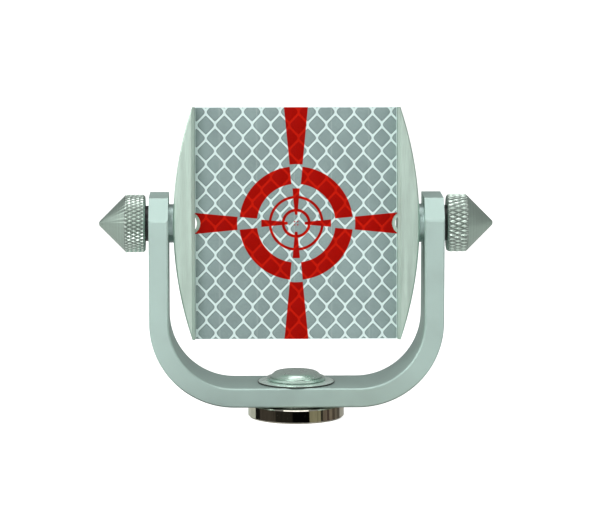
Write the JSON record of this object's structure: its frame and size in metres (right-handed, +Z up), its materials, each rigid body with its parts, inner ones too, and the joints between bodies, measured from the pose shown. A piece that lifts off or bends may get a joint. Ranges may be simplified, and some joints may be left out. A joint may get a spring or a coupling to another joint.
{
  "type": "survey reflector target",
  "caption": "Survey reflector target: a plate with a reflective sheet on each face tilts between thumb nuts in a U-shaped yoke that pans on a round magnet base.",
  "frame": {"origin": "centre of the magnet base's lower face, on the pan axis", "axes": "+X along the tilt axis towards the right knob, +Z up the pan axis, the front sheet faces -Y"},
  "size_m": [0.102, 0.025, 0.0811],
  "materials": {
    "nickel_plate": "polished nickel plate",
    "nickel_magnet": "satin nickel plate",
    "zinc_steel": "zinc-plated steel",
    "spring_steel": "bright rolled steel",
    "turned_aluminium": "turned, clear anodised",
    "anodised_aluminium": "fine matt, clear anodised",
    "brushed_aluminium": "brushed, clear anodised",
    "knurled_aluminium": "knurled and turned",
    "adhesive": "pressure-sensitive adhesive",
    "reflective_sheet": "microprismatic film with red print",
    "black_washer": "black, smooth"
  },
  "bodies": {
    "base": {"magnet_cup": "nickel_plate", "ring_magnet": "nickel_magnet", "base_screw": "zinc_steel", "thrust_washer": "spring_steel", "pivot_stud": "turned_aluminium", "disc_spring": "spring_steel"},
    "yoke": {"yoke": "anodised_aluminium"},
    "target": {"target_body": "brushed_aluminium", "front_adhesive": "adhesive", "rear_adhesive": "adhesive", "front_sheet": "reflective_sheet", "rear_sheet": "reflective_sheet", "left_stud": "zinc_steel", "right_stud": "zinc_steel", "left_spacer": "spring_steel", "right_spacer": "spring_steel"},
    "left_washer": {"left_washer": "black_washer"},
    "left_knob": {"left_knob": "knurled_aluminium"},
    "right_washer": {"right_washer": "black_washer"},
    "right_knob": {"right_knob": "knurled_aluminium"}
  },
  "joints": [
    {"name": "pan", "type": "hinge", "parent": "base", "child": "yoke", "pos_m": [0, 0, 0.0064], "axis": [0, 0, 1], "continuous": true},
    {"name": "tilt", "type": "hinge", "parent": "yoke", "child": "target", "pos_m": [0, 0, 0.0507], "axis": [1, 0, 0], "continuous": true},
    {"name": "left_knob_travel", "type": "slide", "parent": "target", "child": "left_washer", "axis": [-1, 0, 0], "range_m": [0, 0.0064]},
    {"name": "left_knob_turn", "type": "hinge", "parent": "left_washer", "child": "left_knob", "pos_m": [-0.0415, 0, 0.0507], "axis": [-1, 0, 0], "range_deg": [0, 2880]},
    {"name": "right_knob_travel", "type": "slide", "parent": "target", "child": "right_washer", "axis": [1, 0, 0], "range_m": [0, 0.0064]},
    {"name": "right_knob_turn", "type": "hinge", "parent": "right_washer", "child": "right_knob", "pos_m": [0.0415, 0, 0.0507], "axis": [1, 0, 0], "range_deg": [0, 2880]}
  ],
  "couplings": [
    {"joint": "left_knob_travel", "follows": "left_knob_turn", "m_per_rad": 0.00012732},
    {"joint": "right_knob_travel", "follows": "right_knob_turn", "m_per_rad": 0.00012732}
  ]
}
